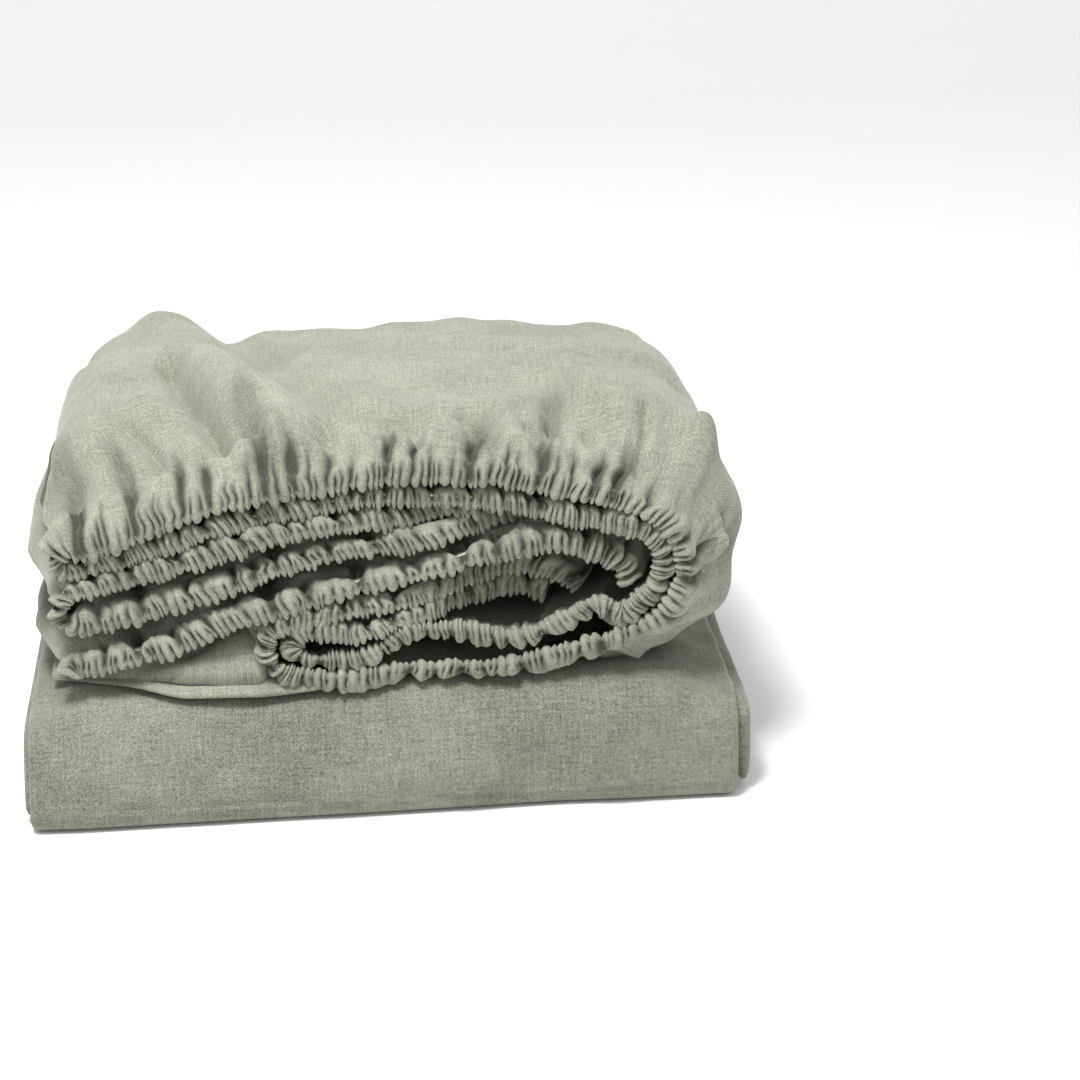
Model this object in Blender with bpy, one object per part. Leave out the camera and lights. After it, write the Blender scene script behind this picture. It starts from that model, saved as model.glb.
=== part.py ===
"""Folded linen bedding: a fitted sheet with a gathered elastic hem, folded on a folded bed cover.

The cloth is modelled as it lies: each stretch of cloth between two folds is a piece of its own.
The hem of the fitted sheet is a sewn casing with an elastic strip inside its tunnel.
Metres, +Z up, the gathered hem faces -Y, and the origin is at the middle of the underside.
"""
import math

import bmesh
import bpy

MM = 0.001

# Overall sizes, in millimetres
STACK_WIDTH = 265.0      # X, over the widest plies of the cover
STACK_DEPTH = 200.0      # Y, over the cover
COVER_HEIGHT = 46.0      # the folded cover alone
SHEET_WIDTH = 231.0      # X, over the hem of the fitted sheet, at its front
SHEET_RISE = 88.0        # the hem's top strand above the cover

# The cover: plies nested round the front fold
COVER_PLY = 6.0          # one folded layer of the cover
COVER_STEP = 1.8         # how much further each inner ply sticks out at the ends
COVER_NOSE = 17.0        # depth of the rounded front
COVER_BACK_STEP = 2.5    # how much shorter each inner ply is at the back
END_ROUND = 1.5          # how much a ply thins at its ends

# The gathered hem
HEM_SETBACK = 2.0        # hem behind the front of the cover
CASING_THICK = 5.0       # casing, across its two cloth walls
CASING_WIDTH = 10.0      # casing, from hem edge to its row of stitches
CASING_WALL = 0.9
ELASTIC_THICK = 2.4
TUNNEL_PLAY = 0.35       # room between elastic and casing, all round

# The cloth behind the hem
GAP = 0.35               # between pieces that touch
LAY_GAP = 0.6            # between plies that lie loosely on each other
PLY_HALF = 2.5           # half of the thinnest ply bundle
SHEET_BACK = 190.0       # depth of the folded sheet behind the hem edge
FULLNESS_RIGHT = 0.14    # the cloth swells by this share behind the hem, to the right
FULLNESS_LEFT = 0.10     # to the left
FULLNESS_UP = 0.1125     # and upwards
SWELL_DEPTH = 42.0       # distance over which it swells
TALL_BAND = 3.0          # extra half height of the top band, which stands up
CURL_REACH = 138.0       # depth behind the hem edge that the rolled-in cloth reaches
TAIL_PLY = 5.6           # lower ply of the smooth cloth left of the curl
TAIL_ROOM = 0.6          # between it and the curl
POCKET_LEFT = -106.0     # the corner pocket heaped on the left, at its front
POCKET_RIGHT = -20.0
POCKET_SETBACK = 34.0    # behind the hem edge
POCKET_DEPTH = 120.0
POCKET_HEIGHT = 16.0
POCKET_EDGE = 2.2

LINEN = (0.33, 0.345, 0.265, 1.0)
LINEN_SHADE = (0.27, 0.285, 0.22, 1.0)
LINEN_LIGHT = (0.40, 0.415, 0.33, 1.0)
ELASTIC_WHITE = (0.72, 0.71, 0.66, 1.0)

HEM_FRONT = -STACK_DEPTH / 2 + HEM_SETBACK
HEM_BACK = HEM_FRONT + CASING_WIDTH
SHEET_FLOOR = COVER_HEIGHT + GAP
SHEET_END = HEM_FRONT + SHEET_BACK
CURL_END = HEM_FRONT + CURL_REACH
POCKET_FRONT = HEM_FRONT + POCKET_SETBACK
POCKET_REAR = POCKET_FRONT + POCKET_DEPTH

# Hem lines, chosen by hand as (x, z) for a hem 231 mm wide that rises 88 mm above the cover.
# Each is one stretch of hem between two folds, and starts where the one before it ends.
# One hem: in from the recess, round the inner curl and the inner turn, back to the left fold,
# over the top, round the outer turn, and back along the cover to the outer curl and the recess.
RECESS_LOWER = [(56, 74.5), (44, 76.5), (32, 76.5), (20, 75.2), (9, 72.6), (0, 70.0), (-9, 67.5)]
INNER_CURL = [(-9, 67.5), (-18, 67.9), (-27, 68.1), (-32.6, 65.4), (-32.6, 60.2), (-27, 57.2),
              (-18, 56.6), (-8, 57.8), (0, 61.2)]
INNER_BOTTOM = [(0, 61.2), (8, 65.0), (19, 65.6), (31, 64.2), (43, 63.0), (54, 64.4), (64, 68.6),
                (75, 71.6), (86, 72.2), (94.5, 76.8), (100, 83), (101.2, 90)]
INNER_TOP = [(101.2, 90), (99.8, 97.5), (93.5, 104.2), (82, 108.6), (70, 111), (54, 113.8), (36, 116.5),
             (6, 119.3), (-20, 117.7), (-48, 112.5), (-73, 105), (-93, 99.2), (-109, 94.6)]
TOP_FOLD = [(-109, 94.6), (-114.6, 95), (-116.2, 99.6), (-113.4, 104.6), (-108, 106)]
OUTER_TOP = [(-108, 106), (-93, 111.2), (-73, 118), (-47, 124), (-19, 129), (6, 131.5), (30, 131),
             (55, 127.5), (77, 122), (90, 116), (99, 109.5), (106.2, 100.5), (109.3, 90)]
OUTER_BOTTOM = [(109.3, 90), (107.2, 80), (100.8, 70.6), (92, 64.8), (82, 61.8), (72, 59.2), (60, 55.7),
                (46, 53.3), (31, 52.2), (18, 52.2), (3, 51.4), (-11, 50.4), (-24, 50)]
OUTER_CURL = [(-24, 50), (-34, 50.8), (-41.6, 54.8), (-45, 61.6), (-43.4, 68.4), (-37.6, 72.8),
              (-30, 74.8)]
RECESS_UPPER = [(-30, 74.8), (-19, 75.9), (-7, 77.4), (8, 79.4), (23, 82.2), (38, 85.2), (52, 85.5),
                (63, 82)]
# A second stretch of the same hem, folded in between
MIDDLE_UPPER = [(20, 112), (-3, 110.3), (-28, 107.8), (-46, 104), (-74, 97), (-93, 91.6), (-108, 87.6)]
MIDDLE_FOLD = [(-108, 87.6), (-113.8, 86), (-116, 81.2), (-113.8, 76.6), (-108, 75.2)]
MIDDLE_LOWER = [(-108, 75.2), (-93, 77.4), (-74, 82.5), (-46, 92), (-22, 97.5), (8, 103), (44, 109)]
# A third, which folds back into the smooth cloth on the cover
PETAL = [(91, 84.5), (87.4, 91.4), (78, 98), (64, 101.3), (40, 98), (12, 90), (-15, 84.5), (-46, 77),
         (-75, 67), (-93, 62), (-107, 59.4)]
LOWER_FOLD = [(-107, 59.4), (-113, 58.4), (-115.2, 54.7), (-113, 51), (-107, 50.2)]

HEMS = (
    (("recess_lower", RECESS_LOWER, 8), ("curl_inner", INNER_CURL, 13), ("bottom_inner", INNER_BOTTOM, 15),
     ("top_inner", INNER_TOP, 17), ("left_fold_top", TOP_FOLD, 8), ("top_outer", OUTER_TOP, 18),
     ("bottom_outer", OUTER_BOTTOM, 16), ("curl_outer", OUTER_CURL, 11), ("recess_upper", RECESS_UPPER, 9)),
    (("middle_upper", MIDDLE_UPPER, 9), ("left_fold_middle", MIDDLE_FOLD, 8),
     ("middle_lower", MIDDLE_LOWER, 10)),
    (("petal", PETAL, 15), ("left_fold_lower", LOWER_FOLD, 8)),
)

DRAWN_WIDTH = 231.0
DRAWN_RISE = 88.0
DRAWN_FLOOR = 46.35


def clear_scene():
    for old in list(bpy.data.objects):
        bpy.data.objects.remove(old, do_unlink=True)


def material(name, colour, roughness):
    mat = bpy.data.materials.new(name)
    mat.use_nodes = True
    shader = mat.node_tree.nodes["Principled BSDF"]
    shader.inputs["Base Color"].default_value = colour
    shader.inputs["Roughness"].default_value = roughness
    shader.inputs["Metallic"].default_value = 0.0
    mat.diffuse_color = colour
    return mat


# ---------------------------------------------------------------- curves in the X-Z plane

def fitted(points):
    """The drawn hem line, at the sheet's own width and rise."""
    across = SHEET_WIDTH / DRAWN_WIDTH
    up = SHEET_RISE / DRAWN_RISE
    return [(x * across, SHEET_FLOOR + (z - DRAWN_FLOOR) * up) for x, z in points]


def curve(points, steps=12):
    """A Catmull-Rom curve through the points, with its unit normal at each step."""
    line = []
    ends = [points[0]] + points + [points[-1]]
    for i in range(len(points) - 1):
        a, b, c, d = ends[i:i + 4]
        for step in range(steps):
            t = step / steps
            line.append(tuple(
                0.5 * (2 * b[k] + (c[k] - a[k]) * t + (2 * a[k] - 5 * b[k] + 4 * c[k] - d[k]) * t ** 2
                       + (3 * b[k] - a[k] - 3 * c[k] + d[k]) * t ** 3) for k in (0, 1)))
    line.append(points[-1])
    out = []
    for i, point in enumerate(line):
        ax, az = line[max(i - 1, 0)]
        bx, bz = line[min(i + 1, len(line) - 1)]
        size = math.hypot(bx - ax, bz - az)
        out.append((point, (-(bz - az) / size, (bx - ax) / size)))
    return out


def evenly(line, count, trim_start, trim_end):
    """Points and normals at equal steps along a piece of a curve, trimmed at its ends."""
    run = [0.0]
    for (p, _), (q, _) in zip(line, line[1:]):
        run.append(run[-1] + math.dist(p, q))
    path, normal = [], []
    j = 0
    for i in range(count):
        goal = trim_start + (run[-1] - trim_start - trim_end) * i / (count - 1)
        while j < len(run) - 2 and run[j + 1] < goal:
            j += 1
        f = (goal - run[j]) / (run[j + 1] - run[j])
        (p, n), (q, m) = line[j], line[j + 1]
        path.append(tuple(p[k] + f * (q[k] - p[k]) for k in (0, 1)))
        mixed = [n[k] + f * (m[k] - n[k]) for k in (0, 1)]
        size = math.hypot(*mixed)
        normal.append((mixed[0] / size, mixed[1] / size))
    return path, normal


def stretches(parts):
    """Each named stretch of one hem as (path, normal), from one curve through all of them.

    A stretch that runs to the left is turned round, so its normal points up.
    """
    points = list(parts[0][1])
    for _, more, _ in parts[1:]:
        points += more[1:]
    steps = 12
    whole = curve(fitted(points), steps)
    start = 0
    out = {}
    for number, (name, own, count) in enumerate(parts):
        end = start + (len(own) - 1) * steps
        trim_start = GAP / 2 if number > 0 else 0.0
        trim_end = GAP / 2 if number < len(parts) - 1 else 0.0
        path, normal = evenly(whole[start:end + 1], count, trim_start, trim_end)
        if own[-1][0] < own[0][0]:
            path = path[::-1]
            normal = [(-x, -z) for x, z in normal[::-1]]
        out[name] = (path, normal)
        start = end
    return out


def offset(path, normal, amounts):
    return [(x + nx * a, z + nz * a) for (x, z), (nx, nz), a in zip(path, normal, amounts)]


def level_at(line, x):
    """Height of a line that runs left to right, or None beside it."""
    for (ax, az), (bx, bz) in zip(line, line[1:]):
        if ax <= x <= bx:
            return az + (bz - az) * (x - ax) / (bx - ax)
    return None


def underside(path, normal, below, most, on_cover):
    """The lower face of a ply: down to what lies under it, where that is near and level."""
    tops = []
    for name in below:
        other, other_normal = HEM_LINES[name]
        tops.append(offset(other, other_normal, [PLY_HALF] * len(other)))
    step = math.dist(path[0], path[1])
    last = len(path) - 1
    out = []
    for i, ((x, z), (nx, nz)) in enumerate(zip(path, normal)):
        x -= nx * PLY_HALF
        z -= nz * PLY_HALF
        rests = [SHEET_FLOOR] if on_cover else []
        for top in tops:
            near = [level_at(top, x)] + [end_z for end_x, end_z in (top[0], top[-1]) if abs(end_x - x) < step]
            rests += [level + LAY_GAP for level in near if level is not None]
        if rests and 0 < i < last:
            steep = min(1.0, max(0.0, (nz - 0.75) / 0.2))
            z -= steep * min(most, max(0.0, z - max(rests)))
        out.append((x, z))
    return out


# ---------------------------------------------------------------- solids

def finish(name, bm, mat):
    bmesh.ops.recalc_face_normals(bm, faces=bm.faces)
    mesh = bpy.data.meshes.new(name)
    bm.to_mesh(mesh)
    bm.free()
    mesh.materials.append(mat)
    obj = bpy.data.objects.new(name, mesh)
    bpy.context.scene.collection.objects.link(obj)
    return obj


def layered_solid(name, rows, mat):
    """A closed solid from rows of (upper points, lower points), one row for each section."""
    bm = bmesh.new()
    grid = []
    for upper, lower in rows:
        grid.append(([bm.verts.new([c * MM for c in p]) for p in upper],
                     [bm.verts.new([c * MM for c in p]) for p in lower]))
    count = len(grid[0][0])
    for (up_a, low_a), (up_b, low_b) in zip(grid, grid[1:]):
        for i in range(count - 1):
            bm.faces.new((up_a[i], up_a[i + 1], up_b[i + 1], up_b[i]))
            bm.faces.new((low_a[i], low_b[i], low_b[i + 1], low_a[i + 1]))
        for i in (0, count - 1):
            bm.faces.new((up_a[i], up_b[i], low_b[i], low_a[i]))
    for upper, lower in (grid[0], grid[-1]):
        for i in range(count - 1):
            bm.faces.new((upper[i], upper[i + 1], lower[i + 1], lower[i]))
    return finish(name, bm, mat)


def ring_at(point, normal, half, front, back):
    x, z = point
    nx, nz = normal
    corners = ((1, front), (1, back), (-1, back), (-1, front))
    return [((x + nx * half * side) * MM, y * MM, (z + nz * half * side) * MM) for side, y in corners]


def bridge(bm, rings):
    for a, b in zip(rings, rings[1:]):
        for i in range(4):
            bm.faces.new((a[i], a[(i + 1) % 4], b[(i + 1) % 4], b[i]))


def strip_solid(name, path, normal, half, front, back, mat):
    """A flat strip along the path: the elastic."""
    bm = bmesh.new()
    rings = [[bm.verts.new(p) for p in ring_at(point, n, half, front, back)]
             for point, n in zip(path, normal)]
    bridge(bm, rings)
    bm.faces.new(rings[0])
    bm.faces.new(rings[-1])
    return finish(name, bm, mat)


def casing_solid(name, path, normal, halves, front, back, mat):
    """The hem casing: a tube along the path with an open tunnel for the elastic."""
    bm = bmesh.new()
    tunnel = ELASTIC_THICK / 2 + TUNNEL_PLAY
    outer, inner = [], []
    for point, n, half in zip(path, normal, halves):
        outer.append([bm.verts.new(p) for p in ring_at(point, n, half, front, back)])
        inner.append([bm.verts.new(p) for p in ring_at(
            point, n, tunnel, front + CASING_WALL, back - CASING_WALL)])
    bridge(bm, outer)
    bridge(bm, inner)
    for big, small in ((outer[0], inner[0]), (outer[-1], inner[-1])):
        for i in range(4):
            bm.faces.new((big[i], big[(i + 1) % 4], small[(i + 1) % 4], small[i]))
    return finish(name, bm, mat)


# ---------------------------------------------------------------- the folded sheet

def swell(y):
    """0 at the hem, 1 where the cloth is fullest, less again at the back."""
    t = min(1.0, max(0.0, (y - HEM_BACK) / SWELL_DEPTH))
    rise = t * t * (3 - 2 * t)
    fall = max(0.0, (y - (SHEET_END - 75.0)) / 75.0)
    return rise * (1 - 0.2 * fall) - 1.05 * fall ** 2.2


def swollen(x, z, y):
    """A point of the front section, moved to where it lies at depth y."""
    amount = swell(y)
    wide = 1 + (FULLNESS_RIGHT if x > 0 else FULLNESS_LEFT) * max(amount, -0.5)
    tall = 1 + FULLNESS_UP * amount
    return x * wide, y, SHEET_FLOOR + (z - SHEET_FLOOR) * tall


def depths_to(back):
    """Depths of the sections that a ply is lofted through."""
    start = HEM_BACK + GAP
    rows = [start, start + SWELL_DEPTH * 0.45, start + SWELL_DEPTH * 0.9]
    return rows + [(rows[-1] + back) / 2, back - 14.0, back]


def ply_solid(name, upper, lower, depths):
    rows = []
    for y in depths:
        rows.append(([swollen(x, z, y) for x, z in upper], [swollen(x, z, y) for x, z in lower]))
    return layered_solid(name, rows, SHEET_CLOTH)


def on_ply(x, z, y):
    """A point of a full-depth ply's own faceted surface, between two of its sections."""
    depths = depths_to(SHEET_END)
    for a, b in zip(depths, depths[1:]):
        if a <= y <= b:
            t = (y - a) / (b - a)
            return [p + (q - p) * t for p, q in zip(swollen(x, z, a), swollen(x, z, b))]


def hem_stretch(name, below=(), on_cover=False, tall=0.0, back=None, most=15.0):
    """One stretch of the sheet: its gathered casing, the elastic in it, and the cloth behind."""
    path, normal = HEM_LINES[name]
    last = len(path) - 1
    halves = []
    for i, (nx, nz) in enumerate(normal):
        level = min(1.0, max(0.0, (abs(nz) - 0.72) / 0.2))
        halves.append(CASING_THICK / 2 + tall * level * min(1.0, 5 * i / last))
    casing_solid(name + "_hem_casing", path, normal, halves, HEM_FRONT, HEM_BACK, HEM_CLOTH)
    inset = CASING_WALL + TUNNEL_PLAY
    strip_solid(name + "_hem_elastic", path, normal, ELASTIC_THICK / 2, HEM_FRONT + inset,
                HEM_BACK - inset, ELASTIC)
    upper = offset(path, normal, [PLY_HALF] * len(path))
    if below or on_cover:
        lower = underside(path, normal, below, most, on_cover)
    else:
        lower = offset(path, normal, [-PLY_HALF] * len(path))
    ply_solid(name + "_ply", upper, lower, depths_to(SHEET_END if back is None else back))


def tail():
    """The smooth cloth left of the curl: two plies between the cover and the petal."""
    petal, petal_normal = HEM_LINES["petal"]
    ceiling = offset(petal, petal_normal, [-PLY_HALF - GAP] * len(petal))
    curl_left = min(x for x, z in HEM_LINES["curl_outer"][0]) - PLY_HALF
    left = petal[0][0] + 0.5
    count = 9
    across = [left + (curl_left - TAIL_ROOM - left) * i / (count - 1) for i in range(count)]
    middle = [(x, SHEET_FLOOR + TAIL_PLY + 2.0 * i / (count - 1)) for i, x in enumerate(across)]
    sides = {
        "tail_lower_ply": (middle, [(x, SHEET_FLOOR) for x in across], 3.0),
        "tail_upper_ply": ([(x, level_at(ceiling, x)) for x in across],
                           [(x, z + GAP) for x, z in middle], 5.0),
    }
    for name, (upper, lower, setback) in sides.items():
        ply_solid(name, upper, lower, [HEM_FRONT + setback] + depths_to(SHEET_END))


def corner_pocket():
    """The boxed corner of the sheet, turned in and heaped over the left of the top ply."""
    path, normal = HEM_LINES["top_outer"]
    line = offset(path, normal, [PLY_HALF] * len(path))
    line = [(x, z) for x, z in line if POCKET_LEFT < x < POCKET_RIGHT]
    depths = [POCKET_FRONT + (POCKET_REAR - POCKET_FRONT) * j / 5 for j in range(6)]
    depths = sorted(depths + [y for y in depths_to(SHEET_END) if POCKET_FRONT < y < POCKET_REAR])
    rows = []
    for y in depths:
        along = math.sin(math.pi * (0.06 + 0.88 * (y - POCKET_FRONT) / (POCKET_REAR - POCKET_FRONT)))
        base, top = [], []
        for i, (x, z) in enumerate(line):
            rise = math.sin(math.pi * (i + 0.5) / len(line)) ** 0.7
            crest = POCKET_EDGE + (POCKET_HEIGHT - POCKET_EDGE) * along * rise
            bx, by, bz = on_ply(x, z, y)
            base.append((bx, by, bz + LAY_GAP))
            top.append((bx, by, bz + LAY_GAP + crest))
        rows.append((top, base))
    layered_solid("corner_pocket", rows, SHEET_CLOTH)


# ---------------------------------------------------------------- the folded cover

def nose(inset, count):
    """Quarter of the rounded front, from the flat top forward to the middle of the fold."""
    half = COVER_HEIGHT / 2 - inset
    depth = COVER_NOSE - inset * 0.6
    out = []
    for i in range(count):
        a = math.pi / 2 * i / (count - 1)
        y = -math.sin(a) ** 0.62 * depth
        z = math.cos(a) ** 0.62 * half
        out.append((y, z))
    return out


def cover_ply(index, side):
    """One ply of the cover, above (side 1) or below (side -1) the middle of the stack."""
    names = ("outer", "second", "core")
    core = names[index] == "core"
    outer = index * (COVER_PLY + GAP)
    middle = COVER_HEIGHT / 2
    nose_y = -STACK_DEPTH / 2 + COVER_NOSE
    reach = STACK_WIDTH / 2 - (2 - index) * COVER_STEP
    back = STACK_DEPTH / 2 - index * COVER_BACK_STEP
    outside = [(back, middle - outer)] + [(nose_y + y, z) for y, z in nose(outer, 9)]
    if core:
        outside = outside[:-1]
        inside = [(y, 0.0) for y, z in outside]
    else:
        inner = outer + COVER_PLY
        inside = [(back, middle - inner)] + [(nose_y + y, z) for y, z in nose(inner, 9)]
    rows = []
    for x, pull in ((-reach, END_ROUND), (-reach + 14, 0.0), (reach - 14, 0.0), (reach, END_ROUND)):
        upper = [(x, y, middle + side * max(z - pull * 0.6, GAP / 2)) for y, z in outside]
        lower = [(x, y, middle + side * max(z, GAP / 2)) for y, z in inside]
        rows.append((upper, lower))
    layer = "upper" if side > 0 else "lower"
    cloth = (COVER_CLOTH, COVER_LIGHT, COVER_CLOTH)[index]
    layered_solid("cover_" + names[index] + "_ply_" + layer, rows, cloth)


clear_scene()
HEM_CLOTH = material("hem_linen", LINEN, 0.9)
SHEET_CLOTH = material("sheet_linen", LINEN_LIGHT, 0.9)
COVER_CLOTH = material("cover_linen", LINEN_SHADE, 0.9)
COVER_LIGHT = material("cover_linen_light", LINEN, 0.9)
ELASTIC = material("elastic_white", ELASTIC_WHITE, 0.7)

for ply in range(3):
    for half in (-1, 1):
        cover_ply(ply, half)

HEM_LINES = {}
for hem in HEMS:
    HEM_LINES.update(stretches(hem))

hem_stretch("top_outer", ["top_inner"], tall=TALL_BAND)
hem_stretch("left_fold_top")
hem_stretch("top_inner", ["middle_upper", "middle_lower", "petal"], most=9.0)
hem_stretch("middle_upper", ["middle_lower"])
hem_stretch("left_fold_middle")
hem_stretch("middle_lower", ["petal"])
hem_stretch("petal", ["recess_upper"], most=8.0)
hem_stretch("left_fold_lower")
hem_stretch("recess_upper")
hem_stretch("recess_lower")
hem_stretch("bottom_inner", ["bottom_outer"], most=9.0)
hem_stretch("bottom_outer", on_cover=True)
hem_stretch("curl_outer", back=CURL_END)
hem_stretch("curl_inner", back=CURL_END)
tail()
corner_pocket()
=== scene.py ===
"""Folded linen bedding: a fitted sheet with a gathered elastic hem, on a folded bed cover.

Every sheet is a grid of points. Its columns follow the little folds of the gathers and its
rows run from the hem edge back into the stack. Metres, as in the CAD frame.
"""
import math

import bpy
import numpy as np
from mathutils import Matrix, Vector


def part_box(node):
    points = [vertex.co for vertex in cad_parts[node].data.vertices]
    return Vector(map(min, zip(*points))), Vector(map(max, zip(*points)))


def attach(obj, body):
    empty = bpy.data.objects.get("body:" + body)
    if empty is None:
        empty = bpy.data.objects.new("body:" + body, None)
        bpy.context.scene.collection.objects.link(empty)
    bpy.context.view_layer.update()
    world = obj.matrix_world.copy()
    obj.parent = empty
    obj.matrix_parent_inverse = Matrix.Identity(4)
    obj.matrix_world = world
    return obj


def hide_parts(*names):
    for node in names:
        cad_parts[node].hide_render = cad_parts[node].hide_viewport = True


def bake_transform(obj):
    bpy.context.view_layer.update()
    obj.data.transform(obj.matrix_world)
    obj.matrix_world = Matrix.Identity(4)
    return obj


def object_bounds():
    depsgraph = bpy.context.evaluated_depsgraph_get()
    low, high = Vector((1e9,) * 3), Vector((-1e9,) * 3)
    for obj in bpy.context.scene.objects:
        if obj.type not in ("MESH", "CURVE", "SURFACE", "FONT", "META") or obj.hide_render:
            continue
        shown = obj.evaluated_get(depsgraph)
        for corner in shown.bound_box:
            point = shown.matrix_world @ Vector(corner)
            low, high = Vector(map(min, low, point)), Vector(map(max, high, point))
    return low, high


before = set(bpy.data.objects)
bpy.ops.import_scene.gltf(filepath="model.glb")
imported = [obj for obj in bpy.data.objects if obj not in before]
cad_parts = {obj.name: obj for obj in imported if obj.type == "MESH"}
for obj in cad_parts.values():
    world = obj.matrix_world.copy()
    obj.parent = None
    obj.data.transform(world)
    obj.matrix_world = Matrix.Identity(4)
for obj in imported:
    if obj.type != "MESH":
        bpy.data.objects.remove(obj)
cad_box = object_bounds()


# ---------- sizes, mostly the frame's own

MM = 0.001
COVER_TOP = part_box("cover_outer_ply_upper")[1][2]
COVER_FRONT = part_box("cover_outer_ply_upper")[0][1]
HEM_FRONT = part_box("top_outer_hem_casing")[0][1]
HEM_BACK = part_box("top_outer_hem_casing")[1][1]
SHEET_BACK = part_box("top_outer_ply")[1][1]
COVER_BACK = cad_box[1][1]
COVER_MIDDLE = COVER_TOP / 2
FLOOR = COVER_TOP + 0.00035  # the lowest cloth lies here
HEM_START = HEM_FRONT + 0.0012  # the depth of every hem line

# How the cloth fills out behind the hem and sinks together again at the back.
SWELL_DEPTH, SINK_DEPTH = 0.042, 0.075
FULL_RIGHT, FULL_LEFT, FULL_UP = 0.14, 0.10, 0.1125
LESS_FULL, SINK = 0.2, 1.05

# The heights towards which the sheets close the back of the stack: one, or a lowest and a highest.
OUTER_CLOSES, INNER_CLOSES = (0.0785, 0.0985), (0.0785, 0.0990)
BASE_CLOSES, TAIL_CLOSES = 0.0905, 0.1000
TURNS_IN = 0.098  # from here outwards the closed back turns in

# The right end bends between the base and the top leaf. The bend's middle plane falls to the left,
# clear of the cloth of the top.
BEND_FALLS, BEND_FALLS_FROM = 0.078, 0.1285


# ---------- small helpers

def catmull(points, per=16):
    """A smooth curve through given points, as an array."""
    p = np.array([points[0]] + list(points) + [points[-1]], float)
    t = np.linspace(0, 1, per, endpoint=False)[:, None]
    out = []
    for i in range(len(points) - 1):
        a, b, c, d = p[i:i + 4]
        out.append(0.5 * (2 * b + (c - a) * t + (2 * a - 5 * b + 4 * c - d) * t ** 2
                          + (3 * b - a - 3 * c + d) * t ** 3))
    out.append(p[-1:])
    return np.concatenate(out)


def arc_length(points):
    """The length from the first point to each point."""
    return np.concatenate(([0.0], np.cumsum(np.linalg.norm(np.diff(points, axis=0), axis=1))))


def smooth_step(x, a, b):
    """From 0 at a to 1 at b, with soft ends."""
    t = np.clip((x - a) / (b - a), 0.0, 1.0)
    return t * t * (3 - 2 * t)


NOISE_TABLE = (97, 89)
NOISE_START = (500.3, 500.7)


def lattice_noise(u, v, wave_u, wave_v, seed):
    """Smooth noise from -1 to 1 over two coordinates, the same every run."""
    table = np.random.default_rng(seed).uniform(-1, 1, NOISE_TABLE)
    x = np.asarray(u, float) / wave_u + NOISE_START[0]
    y = np.asarray(v, float) / wave_v + NOISE_START[1]
    x, y = np.broadcast_arrays(x, y)
    i, j = np.floor(x).astype(int), np.floor(y).astype(int)
    fx, fy = x - i, y - j
    fx, fy = fx * fx * (3 - 2 * fx), fy * fy * (3 - 2 * fy)

    def corner(right, up):
        return table[(i + right) % NOISE_TABLE[0], (j + up) % NOISE_TABLE[1]]

    low = corner(0, 0) * (1 - fx) + corner(1, 0) * fx
    high = corner(0, 1) * (1 - fx) + corner(1, 1) * fx
    return low * (1 - fy) + high * fy


def grid_object(name, points, uv, mat, closed=False, painted_shade=None):
    """A mesh object from rows of points, with its cloth coordinates in metres.

    closed joins the last column to the first. The last argument is the painted shade of each point, 0 to 1,
    by which the linen darkens its colour.
    """
    rows, cols = points.shape[:2]
    idx = np.arange(rows * cols).reshape(rows, cols)
    right = np.roll(idx, -1, axis=1) if closed else idx[:, 1:]
    left = idx if closed else idx[:, :-1]
    quads = np.stack([left[:-1], right[:-1], right[1:], left[1:]], axis=-1).reshape(-1, 4)
    mesh = bpy.data.meshes.new(name)
    mesh.vertices.add(rows * cols)
    mesh.vertices.foreach_set("co", points.reshape(-1).astype(np.float32))
    mesh.loops.add(quads.size)
    mesh.loops.foreach_set("vertex_index", quads.reshape(-1).astype(np.int32))
    mesh.polygons.add(len(quads))
    mesh.polygons.foreach_set("loop_start", np.arange(0, quads.size, 4, dtype=np.int32))
    mesh.polygons.foreach_set("use_smooth", np.ones(len(quads), bool))
    layer = mesh.uv_layers.new(name="Weave")
    layer.data.foreach_set("uv", uv.reshape(-1, 2)[quads.reshape(-1)].reshape(-1).astype(np.float32))
    # a point attribute, read by the linen as painted shade
    depth = mesh.attributes.new("painted_shade", "FLOAT", "POINT")
    if painted_shade is not None:
        depth.data.foreach_set("value", painted_shade.reshape(-1).astype(np.float32))
    mesh.update(calc_edges=True)
    mesh.validate()
    mesh.materials.append(mat)
    obj = bpy.data.objects.new(name, mesh)
    bpy.context.scene.collection.objects.link(obj)
    return obj


# ---------- linen

# painted shade: how strongly, and towards which colour, the cloth's colour is darkened in its folds and gaps
PAINTED_SHADE_STRENGTH = 0.94
PAINTED_SHADE_COLOUR = (0.17, 0.17, 0.14, 1.0)
SHEEN_TINT = (0.93, 0.95, 0.86, 1.0)
WOBBLE = 9.0  # how unevenly the threads run, in radians of their wave


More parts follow.
